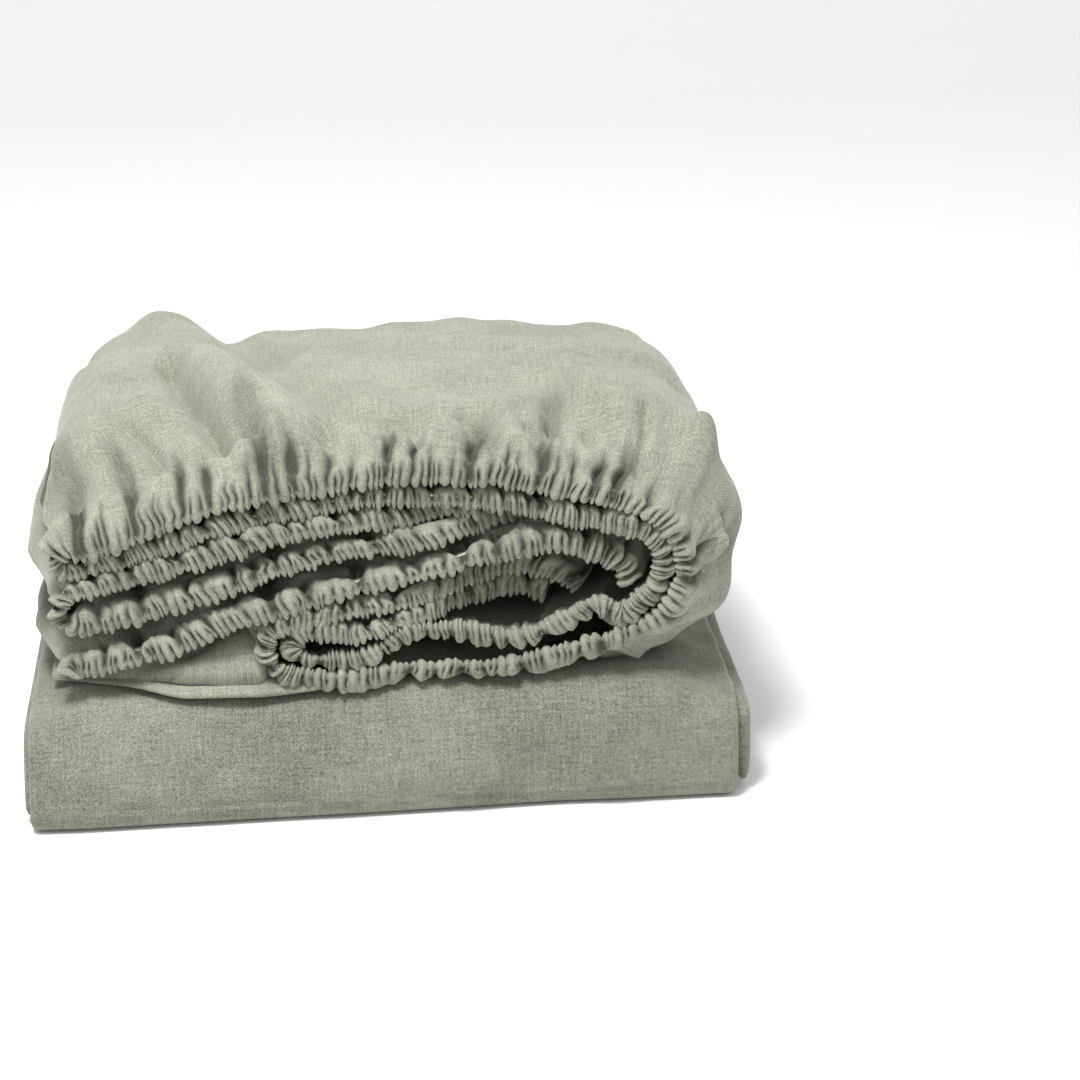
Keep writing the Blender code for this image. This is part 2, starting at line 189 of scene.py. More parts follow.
class Graph:
    """The nodes of one material."""

    def __init__(self, name):
        self.mat = bpy.data.materials.new(name)
        self.mat.use_nodes = True
        self.nodes, self.links = self.mat.node_tree.nodes, self.mat.node_tree.links
        self.shader = self.nodes["Principled BSDF"]

    def node(self, kind, **values):
        made = self.nodes.new(kind)
        for key, value in values.items():
            setattr(made, key, value)
        return made

    def maths(self, op, a, b=None):
        """A sum, product or sine of numbers and other nodes' outputs."""
        made = self.node("ShaderNodeMath", operation=op)
        for slot, value in ((0, a), (1, b)):
            if value is None:
                continue
            if isinstance(value, (int, float)):
                made.inputs[slot].default_value = value
            else:
                self.links.new(value, made.inputs[slot])
        return made.outputs[0]

    def weighted(self, *terms):
        """The sum of outputs, each times its weight."""
        total = None
        for value, weight in terms:
            part = self.maths("MULTIPLY", value, weight)
            total = part if total is None else self.maths("ADD", total, part)
        return total

    def noise(self, vector, scale, detail=2.0, rough=0.5):
        made = self.node("ShaderNodeTexNoise")
        made.inputs["Scale"].default_value = scale
        made.inputs["Detail"].default_value = detail
        made.inputs["Roughness"].default_value = rough
        self.links.new(vector, made.inputs["Vector"])
        return made.outputs["Fac"]

    def stretched(self, vector, scale):
        made = self.node("ShaderNodeMapping")
        made.inputs["Scale"].default_value = scale
        self.links.new(vector, made.inputs["Vector"])
        return made.outputs["Vector"]


def linen(name, dark, light, thread=0.00105, relief=0.6, slub=0.5, grainy=0.42, woven=0.26):
    """Washed linen: plain weave with uneven threads, slubs, faint blotches and a soft sheen, with shade
    painted into its colour deep in the folds.

    thread is the spacing of the weave in metres; slub, grainy and woven are how strongly the slubs,
    the grain and the weave show.
    """
    graph = Graph(name)
    for socket, value in (("Roughness", 0.93), ("Specular IOR Level", 0.18), ("Sheen Weight", 0.22),
                          ("Sheen Roughness", 0.55), ("Sheen Tint", SHEEN_TINT)):
        graph.shader.inputs[socket].default_value = value
    link = graph.links.new

    cloth = graph.node("ShaderNodeUVMap", uv_map="Weave").outputs["UV"]
    place = graph.node("ShaderNodeTexCoord").outputs["Object"]
    wobble = graph.noise(graph.stretched(cloth, (60, 60, 1)), 1.0, 2.0)
    split = graph.node("ShaderNodeSeparateXYZ")
    link(cloth, split.inputs[0])
    turn = 2 * math.pi / thread
    weft_phase = graph.weighted((split.outputs["Y"], turn), (wobble, WOBBLE))
    warp_phase = graph.weighted((split.outputs["X"], turn), (wobble, WOBBLE))
    over = graph.maths("MULTIPLY", graph.maths("SINE", weft_phase), graph.maths("SINE", warp_phase))
    weave = graph.maths("ADD", graph.maths("MULTIPLY", over, 0.5), 0.5)
    slub_x = graph.noise(graph.stretched(cloth, (90, 1100, 1)), 1.0, 3.0, 0.6)
    slub_y = graph.noise(graph.stretched(cloth, (1100, 90, 1)), 1.0, 3.0, 0.6)
    slubs = graph.weighted((slub_x, 0.5), (slub_y, 0.5))
    grain = graph.noise(place, 1500.0, 2.0, 0.65)
    blotch = graph.noise(place, 34.0, 3.0, 0.55)
    tone = graph.weighted((weave, woven), (slubs, slub), (grain, grainy), (blotch, 0.22))
    ramp = graph.node("ShaderNodeValToRGB")
    for element, place_on_ramp, colour in zip(ramp.color_ramp.elements, (0.16, 0.58), (dark, light)):
        element.position = place_on_ramp + woven / 2 + grainy / 2
        element.color = (*colour, 1.0)
    link(tone, ramp.inputs["Fac"])

    # painted shade: deep in a gather the cloth lies fold on fold, deeper than one surface can show, so its
    # colour is darkened there towards a dark shade colour
    fold = graph.node("ShaderNodeAttribute", attribute_name="painted_shade")
    shade = graph.node("ShaderNodeMix", data_type="RGBA", blend_type="MULTIPLY")
    link(graph.maths("MULTIPLY", fold.outputs["Fac"], PAINTED_SHADE_STRENGTH), shade.inputs["Factor"])
    link(ramp.outputs["Color"], shade.inputs[6])
    shade.inputs[7].default_value = PAINTED_SHADE_COLOUR
    link(shade.outputs[2], graph.shader.inputs["Base Color"])

    height = graph.weighted((weave, 2.3 * woven), (slubs, 0.7), (grain, 1.4 * grainy))
    bump = graph.node("ShaderNodeBump")
    bump.inputs["Strength"].default_value = relief
    bump.inputs["Distance"].default_value = 0.0004
    link(height, bump.inputs["Height"])
    link(bump.outputs["Normal"], graph.shader.inputs["Normal"])
    return graph.mat


SHEET_LINEN = linen("sheet_linen_cloth", (0.094, 0.099, 0.073), (0.365, 0.371, 0.308),
                    grainy=0.5, woven=0.12)
ELASTIC = linen("elastic_knit", (0.50, 0.49, 0.44), (0.74, 0.73, 0.68), thread=0.0009, relief=0.5)
COVER_LINEN = linen("cover_linen_cloth", (0.060, 0.064, 0.047), (0.322, 0.332, 0.272),
                    grainy=0.6, woven=0.16, slub=0.42)


# ---------- hem lines, (x, z) in mm

RECESS_LOWER = [(58, 74), (44, 76.5), (32, 76.5), (20, 75.2), (9, 72.6), (0, 70.0), (-9, 67.5)]
INNER_CURL = [(-9, 67.5), (-18, 68.6), (-27, 69.0), (-33.4, 66.0), (-34.2, 61.0), (-29, 57.0),
              (-18, 56.0), (-8, 57.8), (0, 61.2)]
INNER_BOTTOM = [(0, 61.2), (8, 65.0), (19, 65.6), (31, 64.2), (43, 63.0), (54, 64.4), (64, 68.6),
                (74, 73.8), (79, 74.2), (85, 70.6), (92, 74.5), (98.5, 82), (101.2, 90)]
INNER_TOP = [(101.2, 90), (99.8, 97.5), (93.5, 104.2), (82, 108.6), (70, 111), (54, 113.8), (36, 116.5),
             (6, 119.3), (-20, 117.7), (-48, 112.5), (-73, 105), (-93, 99.2), (-109, 94.6)]
TOP_FOLD = [(-109, 94.6), (-114.6, 95), (-116.6, 99.6), (-113.4, 104.6), (-108, 106)]
OUTER_TOP = [(-108, 106), (-93, 111.2), (-73, 118), (-47, 124), (-19, 129), (6, 131.5), (30, 131),
             (55, 127.5), (77, 122), (90, 116), (99, 109.5), (106.2, 100.5), (109.3, 90)]
OUTER_BOTTOM = [(109.3, 90), (107.2, 80), (100.8, 70.6), (92, 64.8), (82, 61.8), (72, 59.2), (60, 55.7),
                (46, 52.9), (31, 51.2), (18, 51.2), (3, 50.4), (-11, 49.0), (-24, 48.6)]
OUTER_CURL = [(-24, 48.6), (-34, 49.8), (-42, 54.2), (-45.4, 61.6), (-43.6, 68.4), (-37.6, 72.8),
              (-30, 74.8)]
RECESS_UPPER = [(-30, 74.8), (-19, 75.9), (-7, 77.4), (8, 79.4), (23, 82.2), (38, 85.2), (52, 85.8),
                (62, 82.5), (70, 76)]
MIDDLE_UPPER = [(34, 113.5), (20, 112), (-3, 110.3), (-28, 107.8), (-46, 104), (-74, 97), (-93, 91.6),
                (-108, 87.6)]
MIDDLE_FOLD = [(-108, 87.6), (-113.8, 86), (-116, 81.2), (-113.8, 76.6), (-108, 75.2)]
MIDDLE_LOWER = [(-108, 75.2), (-93, 77.4), (-74, 82.5), (-46, 92), (-22, 97.5), (8, 103), (44, 109),
                (58, 110)]
PETAL = [(91.5, 82), (87.4, 91.4), (78, 98), (64, 101.3), (40, 98), (12, 90), (-15, 84.5), (-46, 77),
         (-75, 67), (-93, 62), (-107, 59.4)]
LOWER_FOLD = [(-107, 59.4), (-113, 58.4), (-115.2, 54.7), (-113, 51), (-107, 50.2)]


class HemLine:
    """One hem line: place and outward normal at any length along it, at the hem and deep inside."""

    def __init__(self, *parts, outward=1, deep=None):
        points = list(parts[0])
        for more in parts[1:]:
            points += more[1:]
        self.xz = catmull(points) * MM
        self.run = arc_length(self.xz)
        self.length = self.run[-1]
        self.normal = self.normals(self.xz, outward)
        self.deep = None if deep is None else catmull(deep) * MM
        if deep is not None:
            self.deep_normal = self.normals(self.deep, outward)

    @staticmethod
    def normals(xz, outward):
        """Unit normals, evened out over nine points so that tight turns stay soft."""
        run = arc_length(xz)
        tangent = np.gradient(xz, run, axis=0)
        padded = np.pad(tangent, ((4, 4), (0, 0)), mode="edge")
        evened = [np.convolve(padded[:, k], np.ones(9) / 9, "valid") for k in (0, 1)]
        tangent = np.stack(evened, axis=1)
        tangent /= np.linalg.norm(tangent, axis=1, keepdims=True)
        return outward * np.stack([-tangent[:, 1], tangent[:, 0]], axis=1)

    def look_up(self, s, xz, normal):
        """Place and unit normal (x, z, nx, nz) at the lengths s."""
        x, z, nx, nz = (np.interp(s, self.run, column) for column in (*xz.T, *normal.T))
        size = np.hypot(nx, nz)
        return x, z, nx / size, nz / size

    def at(self, s):
        return self.look_up(s, self.xz, self.normal)

    def deep_at(self, s):
        return self.look_up(s, self.deep, self.deep_normal)


# ---------- gathers

class Gathers:
    """The small folds of a shirred hem, which join in twos and threes away from the elastic."""

    # for each level, from the smallest folds to the ones that run on furthest, in mm
    REACH = (7.0, 11.5, 17.0, 28.0, 48.0)
    DEPTH = (2.1, 2.6, 3.0, 3.4, 3.8)
    WIDTH = (0.62, 0.72, 0.84, 1.0, 1.25)

    def __init__(self, length, pitch, seed, each=8, strength=1.0, join=0.3):
        rng = np.random.default_rng(seed)
        count = max(4, int(round(length / pitch)))
        gaps = rng.uniform(0.55, 1.45, count)
        self.valleys = np.concatenate(([0.0], np.cumsum(gaps))) / gaps.sum() * length
        self.level = np.zeros(count + 1, int)
        alive = np.arange(count + 1)
        for level in range(1, 5):
            keep, i = [], int(rng.integers(0, 2))
            while i < len(alive):
                keep.append(alive[i])
                i += int(rng.choice((1, 2, 3), p=(0.15, 0.85 - join, join)))
            alive = np.array(keep)
            self.level[alive] = level
        self.reach = np.array(self.REACH)[self.level] * MM * rng.uniform(0.7, 1.3, count + 1)
        self.depth = np.array(self.DEPTH)[self.level] * MM * rng.uniform(0.65, 1.25, count + 1) * strength
        self.width = np.array(self.WIDTH)[self.level] * MM * rng.uniform(0.8, 1.25, count + 1)
        self.crest = rng.uniform(-0.35, 0.75, count)
        t = np.arange(each) / each
        cells = self.valleys[:-1, None] + np.diff(self.valleys)[:, None] * t
        self.columns = np.append(cells.reshape(-1), length)

    def relief(self, v, longer):
        """Depth of the folds, rows by columns, at lengths v from the hem edge; longer where it is tall."""
        out = np.zeros((len(v), len(self.columns)))
        away = np.abs(v)
        for k, place in enumerate(self.valleys):
            reach = self.reach[k] * (1 + 0.42 * np.interp(place, self.columns, longer))
            fade = np.clip(1 - (away / reach) ** 3, 0, 1)
            deeper = 0.45 if self.level[k] > 1 else 0.0
            after = 1 + deeper * np.exp(-((away - 0.6 * reach) / (0.3 * reach)) ** 2)
            width = self.width[k] * (1 + away / (13 * MM))
            span = 6 * width.max()
            lo, hi = np.searchsorted(self.columns, (place - span, place + span))
            x = np.abs(self.columns[lo:hi] - place)[None, :]
            shape = np.exp(-(x / width[:, None]) ** 1.2)
            here = (self.depth[k] * fade * after)[:, None] * shape
            out[:, lo:hi] = np.maximum(out[:, lo:hi], here) + 0.12 * np.minimum(out[:, lo:hi], here)
        rim = 0.22 + 0.78 * smooth_step(v, -0.0006, 0.0026)
        most = 3.0 * MM + 2.4 * MM * smooth_step(v, 0.009, 0.014)
        return np.minimum(out * rim[:, None], most[:, None])

    def ridge(self):
        """1 on the crest of each smallest fold, 0 in its valleys, and how proud each one stands."""
        near = np.searchsorted(self.valleys, self.columns, side="right") - 1
        near = np.clip(near, 0, len(self.valleys) - 2)
        t = (self.columns - self.valleys[near]) / (self.valleys[near + 1] - self.valleys[near])
        return np.sin(np.pi * np.clip(t, 0, 1)) ** 0.5, self.crest[near]


# The section through a hem, from inside the casing, round the hem edge and back over the top:
# (back from the hem's front, out from the hem line) in mm.
LOW_BAND = [(15, -0.8), (9, -2.2), (4.5, -3.4), (1.8, -3.9), (0.2, -3.2), (-0.7, -1.6), (-0.9, 0.2),
            (-0.5, 1.9), (0.6, 3.2), (2.6, 4.0), (5.2, 3.9), (7.6, 3.0), (9.6, 2.5), (12.5, 3.8),
            (17, 4.5), (24, 4.2), (32, 3.2)]
TALL_BAND = [(15, -4.4), (9, -5.6), (4.5, -6.9), (1.8, -7.6), (0.4, -7.4), (-0.6, -6.0), (-1.0, -4.0),
             (-0.8, -2.0), (0.1, -0.1), (1.6, 1.2), (3.4, 1.7), (5.2, 1.5), (7.0, 2.8), (9.5, 4.6),
             (13, 5.6), (20, 5.8), (31, 6.2)]
CLOTH_LEVEL = 3.6  # of the cloth far behind the hem, out from the hem line, in mm
INSIDE_SHARE = 0.28  # of the hem's section, from inside the casing to the hem edge
INSIDE_ROWS, RIM_ROWS = 7, 34

# The elastic in the tunnel of the hem: its front, back and half thickness, in metres.
ELASTIC_FRONT, ELASTIC_BACK, ELASTIC_HALF = 0.0040, 0.0078, 0.0004
ELASTIC_STEP, ELASTIC_END = 0.002, 0.001


def band_rows(points):
    """The section of a hem, as (back, out) points in metres, and the length along it."""
    line = catmull(points, 14) * MM
    return line, arc_length(line)


def swell(y):
    """How full the cloth is at depth y: as in the CAD, 0 at the hem, 1 in the middle."""
    rise = smooth_step(y, HEM_BACK, HEM_BACK + SWELL_DEPTH)
    fall = np.clip((y - (SHEET_BACK - SINK_DEPTH)) / SINK_DEPTH, 0, None)
    return rise * (1 - LESS_FULL * fall) - SINK * fall ** 2.2


def swollen(x, y, z):
    """The point x, y, z where the fullness of the cloth carries it."""
    amount = swell(y)
    wide = 1 + np.where(x > 0, FULL_RIGHT, FULL_LEFT) * np.maximum(amount, -0.5)
    return x * wide, y, FLOOR + (z - FLOOR) * (1 + FULL_UP * np.maximum(amount, 0.0))


class Strip:
    """A stretch of gathered hem with the cloth behind it, as rows and columns of points.

    A column's place along the hem line is s0, and a row's length from the hem edge is v. tall is how
    far a column's section is TALL_BAND, and lift how much higher it stands. sunk says from which x to
    which the cloth moves back, and how far, in mm.
    """

    def __init__(self, line, seed, pitch=2.3, each=8, back=0.085, rows_back=20, tall=None, lift=None,
                 level=CLOTH_LEVEL, slant=0.5, strength=1.0, puff=1.0, join=0.3, setback=0.0,
                 sunk=(1.0, 2.0, 0.0)):
        self.line, self.sunk = line, sunk
        self.gathers = Gathers(line.length, pitch * MM, seed, each, strength, join)
        s0 = self.s0 = self.gathers.columns
        self.weight = np.zeros(len(s0)) if tall is None else tall(s0)
        self.lay_section(back, rows_back, lift, level)
        v = self.v[:, None]
        column = s0[None, :]
        self.s = column + self.drift(slant, seed)
        crest, proud = self.gathers.ridge()
        near = np.exp(-(np.abs(v) / 0.0045) ** 2)
        band = smooth_step(v, 0.013 + 0.008 * self.weight.max(), 0.004)
        height = -self.gathers.relief(self.v, self.weight)
        # painted shade: the deeper a point lies in a fold, the darker its colour is painted; less of it
        # further back from the hem
        self.painted_shade = np.clip(-height / (2.6 * MM), 0, 1) ** 1.7 * smooth_step(v, -0.003, 0.001)
        self.painted_shade = self.painted_shade * (1 - 0.6 * smooth_step(v, 0.014, 0.028))
        height = height + 0.0006 * crest * near + 0.0013 * proud * crest * band
        height = height + 0.00038 * crest * band * lattice_noise(column, v, 0.0021, 0.0024, seed + 15)
        height = height + 0.0009 * lattice_noise(column, v, 0.011, 0.02, seed + 5)
        height = height + self.puffs(seed, puff)
        scallop = near * ((crest - 0.5) * 0.0010 + 0.0009 * lattice_noise(s0, 0, 0.004, 1, seed + 6))
        wave = 0.0011 * lattice_noise(s0, 0, 0.028, 1, seed + 7)
        self.wave = wave + 0.0007 * lattice_noise(s0, 0, 0.011, 1, seed + 8)
        fade = np.exp(-np.maximum(v, 0) / 0.03)
        nb, na = self.section_normals()
        self.out = self.a + na * height - scallop * (v < 0.004) + self.wave[None, :] * fade
        depth = self.b + nb * height + setback
        depth = depth + 0.0012 * fade * lattice_noise(s0, 0, 0.035, 1, seed + 9)[None, :]
        self.y = HEM_START + (depth + self.moved_back(line.at(s0)[0])[None, :])
        self.uv = np.stack(np.broadcast_arrays(self.s * 1.35, v), axis=-1)

    def lay_section(self, back, rows_back, lift, level):
        """The plain section of each column: b back from the hem's front, a out from the hem line."""
        low, low_run = band_rows(LOW_BAND)
        high, high_run = band_rows(TALL_BAND)
        inside = np.linspace(0, INSIDE_SHARE, INSIDE_ROWS, endpoint=False)
        t = np.concatenate((inside, np.linspace(INSIDE_SHARE, 1.0, RIM_ROWS)))
        weight = self.weight
        b = np.empty((len(t), len(self.s0)))
        a = np.empty_like(b)
        for out, k in ((b, 0), (a, 1)):
            lo = np.interp(t * low_run[-1], low_run, low[:, k])
            hi = np.interp(t * high_run[-1], high_run, high[:, k])
            out[:] = lo[:, None] * (1 - weight) + hi[:, None] * weight
        edge = int(np.argmin(np.abs(t - INSIDE_SHARE)))
        if lift is not None:
            a = a + lift(self.s0)[None, :] * smooth_step(t - t[edge], 0.05, 0.30)[:, None]
        run = low_run[-1] * (1 - weight.mean()) + high_run[-1] * weight.mean()
        v_rim = (t - t[edge]) * run
        deep = np.linspace(0, 1, rows_back + 1)[1:] ** 1.15
        b_back = b[-1] + (back - b[-1]) * deep[:, None]
        settle = smooth_step(deep, 0.0, 0.45)[:, None]
        a_back = a[-1] * (1 - settle) + level * MM * settle
        self.b, self.a = np.concatenate((b, b_back)), np.concatenate((a, a_back))
        self.v = np.concatenate((v_rim, v_rim[-1] + (back - b[-1].mean()) * deep))

    def section_normals(self):
        """Outward from the section, as parts along b and a."""
        db, da = np.gradient(self.b, axis=0), np.gradient(self.a, axis=0)
        size = np.hypot(db, da) + 1e-12
        return -da / size, db / size

    def drift(self, slant, seed):
        """How far the folds lean and wander to the side as they leave the hem."""
        v, column = self.v[:, None], self.s0[None, :]
        lean = slant * (0.6 + lattice_noise(self.s0, 0, 0.045, 1, seed + 3))
        drift = np.clip(v, 0, 0.018) * lean[None, :] * 0.5
        sway = lattice_noise(column, v, 0.0075, 0.006, seed + 4)
        drift = drift + 0.0010 * smooth_step(v, 0.0, 0.006) * sway
        return drift + 0.00045 * lattice_noise(column, v, 0.0045, 0.0035, seed + 14)

    def moved_back(self, x):
        """How much further back the cloth lies at x; its right end is in the shade."""
        first, last, most = self.sunk
        return most * MM * smooth_step(x, first * MM, last * MM)

    def puffs(self, seed, amount):
        """Soft blobs of cloth behind the row of stitches, larger further back."""
        v, column = self.v[:, None], self.s0[None, :]
        shift = 0.006 * self.weight[None, :]
        window = np.exp(-((v - 0.0165 - shift) / 0.0065) ** 2)
        fine = lattice_noise(column, v, 0.0058, 0.009, seed + 11)
        wide = lattice_noise(column, v, 0.013, 0.014, seed + 12)
        near = 0.0030 * window * (fine * 0.8 + wide * 0.8 + 0.3)
        window = np.exp(-((v - 0.036 - shift) / 0.016) ** 2)
        far = 0.0022 * window * lattice_noise(column, v, 0.020, 0.028, seed + 13)
        return amount * (near + far)

    def points(self):
        """The cloth, swelling behind the hem as the CAD plies do, or towards the line's deep outline."""
        x, z, nx, nz = self.line.at(self.s)
        y = self.y
        if self.line.deep is None:
            x, y, z = swollen(x + nx * self.out, y, z + nz * self.out)
            return np.stack([x, y, z], axis=-1)
        dx, dz, dnx, dnz = self.line.deep_at(self.s)
        top = smooth_step(nz, 0.60, 0.97)
        w = smooth_step(y, HEM_BACK - 0.008, HEM_BACK + 0.016 + 0.026 * top)
        band = self.a * (1 - w)
        loose = self.out - self.a
        x = (x + nx * (band + loose)) * (1 - w) + (dx + dnx * loose) * w
        z = (z + nz * (band + loose)) * (1 - w) + (dz + dnz * loose) * w
        self.nx, self.nz = nx * (1 - w) + dnx * w, nz * (1 - w) + dnz * w
        return np.stack([x, y, z], axis=-1)

    def elastic(self, name):
        """The elastic strip in the tunnel of the hem."""
        length = self.line.length
        s = np.linspace(ELASTIC_END, length - ELASTIC_END, max(12, int(length / ELASTIC_STEP)))
        x, z, nx, nz = self.line.at(s)
        ring = [(ELASTIC_FRONT, -ELASTIC_HALF), (ELASTIC_FRONT, ELASTIC_HALF),
                (ELASTIC_BACK, ELASTIC_HALF), (ELASTIC_BACK, -ELASTIC_HALF)]
        follow = np.interp(s, self.s0, self.wave * 0.9 - 0.0032 * self.weight)
        rows = []
        for b, a in ring:
            wave = a + follow
            place = swollen(x + nx * wave, HEM_START + b + self.moved_back(x), z + nz * wave)
            rows.append(np.stack(place, axis=-1))
        points = np.stack(rows, axis=1)
        uv = np.stack(np.broadcast_arrays(s[:, None], np.arange(4)[None, :] * 0.003), axis=-1)
        return grid_object(name, points, uv, ELASTIC, closed=True)


def cover_forward(x):
    """The cover lies a little askew: the foot of its front stands further forward on the left."""
    return 0.0022 + 0.0100 * smooth_step(x, 0.14, -0.13)


def cover_falls(x, y):
    """How far the rounded front of the cover is below its top."""
    front = COVER_FRONT - 0.25 * cover_forward(x)
    return 0.0125 * (1 - smooth_step(y, front, front + 0.014)) ** 2


CLEAR_OF_COVER = 0.0006


def clamp_to_cover(points):
    """Cloth that lies on the cover doesn't sink into it."""
    floor = COVER_TOP - cover_falls(points[..., 0], points[..., 1]) + CLEAR_OF_COVER
    points[..., 2] = np.maximum(points[..., 2], floor)
    return points


ROUNDED = 2 / 2.6  # between a straight chamfer, 2, and a square corner, 0


def rounded_back(points, start, end, middle, share=1.0):
    """Closes the back of the stack: the cloth turns over towards this height, or to the nearer of two."""
    x, y, z = points[..., 0], points[..., 1], points[..., 2]
    if isinstance(middle, tuple):
        low, high = middle
        low = low - BEND_FALLS * (BEND_FALLS_FROM - x)  # below the bend between base and top leaf
        middle = np.clip(z, low, high + 0.0012 * lattice_noise(x, 0, 0.045, 1, 61))
    if y.max() <= start:
        return points
    t = np.clip((y - start) / (y.max() - start), 0, 1) * math.pi / 2
    keep = 1 - share * (1 - np.cos(t) ** ROUNDED)
    points[..., 2] = middle + (z - middle) * keep
    beyond = np.abs(x) - TURNS_IN  # and it turns in at both ends
    points[..., 0] -= np.sign(x) * np.maximum(beyond, 0) * (1 - keep) * share
    points[..., 1] = np.where(y > start, start + (end - start) * np.sin(t) ** ROUNDED, y)
    return points


# ---------- sheets of the fitted sheet

# Where the outer cloth runs in the middle of the stack: one place for each point of its hem line.
DEEP_OUTER = [(-122, 104), (-121.5, 116), (-117, 127), (-106, 134.5), (-86, 139), (-58, 141),
              (-26, 142.5), (6, 143), (36, 143.3), (62, 143), (86, 142.8), (103, 140.6), (114.5, 135),
              (122.5, 122.5), (129.5, 105), (132.5, 88), (126, 70), (115.5, 58.5), (105, 51.6),
              (92, 48.8), (77, 47.9), (58, 47.8), (40, 47.8), (24, 47.8), (5, 47.8), (-14, 47.8),
              (-28, 47.8)]


def tall_weight(line):
    """1 over the top strand, 0 round the turn and along the bottom."""
    def weight(s):
        _, z, _, nz = line.at(s)
        return smooth_step(nz, 0.70, 0.93) * smooth_step(z, 0.085, 0.105)
    return weight


def heaped(line):
    """How much taller the top strand stands under the heaped corner."""
    def lift(s):
        x, _, _, nz = line.at(s)
        return 0.0055 * smooth_step(x, -0.020, -0.075) * smooth_step(nz, 0.2, 0.7)
    return lift


def along(x, y, path, left, right):
    """1 on a path over the top, fading to 0 at these distances to either side of it, in mm."""
    path = catmull(path, 10) * MM
    best = np.full(x.shape, 1e9)
    side = np.zeros(x.shape)
    for p, q in zip(path[:-1], path[1:]):
        d = q - p
        size = float(d @ d)
        t = np.clip(((x - p[0]) * d[0] + (y - p[1]) * d[1]) / size, 0, 1)
        rx, ry = x - p[0] - t * d[0], y - p[1] - t * d[1]
        far = np.hypot(rx, ry)
        nearer = far < best
        best = np.where(nearer, far, best)
        side = np.where(nearer, (d[0] * ry - d[1] * rx) / math.sqrt(size), side)
    width = (right + (left - right) * smooth_step(side, -0.003, 0.003)) * MM
    return np.exp(-(best / width) ** 2)


# Folds and hollows of the top, as seen from above: path, height, width to its left and right (mm).
TOP_FOLDS = [
    ([(-86, 66), (-76, 36), (-66, -2), (-54, -40), (-42, -66), (-35, -82)], 12.0, 16, 11),
    ([(-58, 62), (-47, 36), (-38, 6), (-28, -28), (-17, -54), (-4, -66), (10, -70)], -7.0, 8, 13),
    ([(-77, -6), (-70, -34), (-62, -60), (-56, -80)], -9.0, 3.0, 4.0),
    ([(-86, -46), (-73, -62), (-65, -80)], 4.5, 7, 6),
    ([(-92, -58), (-82, -72), (-78, -84)], -5.0, 2.6, 3.0),
    ([(-112, -60), (-100, -30), (-98, 20), (-100, 50)], 5.0, 14, 14),
    ([(-16, -76), (-9, -86)], 4.2, 4.5, 4), ([(-22, -72), (-17, -86)], -3.6, 1.8, 2.2),
    ([(0, -72), (5, -86)], 4.2, 3.5, 4), ([(-5, -74), (-2, -88)], -3.6, 1.6, 2),
    ([(17, -74), (23, -86)], 3.6, 4, 4), ([(11, -76), (14, -88)], -3.4, 1.6, 2),
    ([(30, -62), (36, -74), (41, -88)], -4.6, 2.0, 2.6), ([(44, -60), (48, -86)], 4.0, 4, 5),
    ([(53, -70), (55, -88)], -3.4, 1.5, 2), ([(61, -68), (64, -78), (67, -88)], -4.2, 2.0, 2.2),
    ([(57, -62), (59, -86)], 3.0, 4, 3.5), ([(74, -74), (78, -88)], -3.6, 1.7, 2.2),
    ([(72, -26), (82, -50), (90, -74)], 6.5, 13, 11), ([(96, -66), (92, -86)], -3.6, 2.2, 2.6),
    ([(104, -84), (110, -76), (118, -66)], 4.0, 4, 5), ([(106, -58), (112, -44), (114, -20)], -2.4, 5, 6),
    ([(-10, 34), (30, 26), (70, 12), (104, -4)], 2.0, 8, 6), ([(-4, 4), (40, -6), (84, -22)], 1.8, 7, 5),
    ([(10, 56), (50, 48), (92, 30)], 1.8, 8, 7), ([(16, -40), (40, -44), (62, -38)], -3.4, 14, 11),
    ([(14, 18), (54, 8), (92, -8)], -1.4, 5, 5), ([(20, -56), (38, -54), (52, -50)], 2.0, 6, 5),
]

# Wrinkles of the right end: (length round the section from the top of the hem's turn, start, end
# depth behind the hem, height, width), mm.
END_FOLDS = [
    (-36, 8, 24, -2.0, 1.8), (-29, 9, 30, 1.8, 3.0), (-23, 8, 26, -2.2, 2.6), (-12, 8, 30, -2.2, 2.8),
    (-6, 9, 26, 1.6, 2.6), (0, 8, 24, -1.8, 2.4), (8, 9, 30, -2.0, 2.9), (14, 9, 26, 1.8, 2.6),
    (19, 8, 24, -2.0, 1.9), (29, 8, 28, -2.2, 2.2), (38, 8, 22, -1.8, 1.8), (46, 9, 28, 1.8, 3.2),
    (54, 8, 24, -2.2, 2.2), (-19, 14, 96, 1.4, 9.0), (-9, 18, 80, -1.2, 4.5), (2, 16, 96, 2.6, 7.5),
    (12, 20, 80, -1.4, 4.5), (22, 14, 96, 1.8, 8.0), (35, 18, 70, -1.4, 4.5), (47, 16, 80, 1.6, 7.0),
]


def top_features(strip, points, turn_at):
    """The big folds of the top: the heaped corner on the left, its hollows, soft waves, end wrinkles."""
    x, y = points[..., 0], points[..., 1]
    free = smooth_step(strip.y, HEM_BACK - 0.006, HEM_BACK + 0.010)
    upper = smooth_step(strip.nz, 0.15, 0.7)
    rise = np.zeros(x.shape)
    for path, height, left, right in TOP_FOLDS:
        rise = rise + height * MM * along(x, y, path, left, right)
    rise = (rise + 0.0012 * lattice_noise(x, y, 0.030, 0.046, 201)
            + 0.0008 * lattice_noise(x, y, 0.013, 0.021, 202))
    rise = rise * upper * free - 0.0045 * upper * smooth_step(y, -0.015, 0.060)
    round_it = (strip.s - turn_at) / MM
    for place, start, end, height, width in END_FOLDS:
        bend = place + 5 * (strip.b * 1000 - start) / 60 * math.tanh((place - 8) / 14)
        window = (smooth_step(strip.b, start * MM * 0.5, start * MM)
                  * smooth_step(strip.b, end * MM, end * MM * 0.45))
        rise = rise + height * MM * window * np.exp(-((round_it - bend) / width) ** 2) * (1 - 0.6 * upper)
    points[..., 0] += strip.nx * rise
    points[..., 2] += strip.nz * rise
    return points


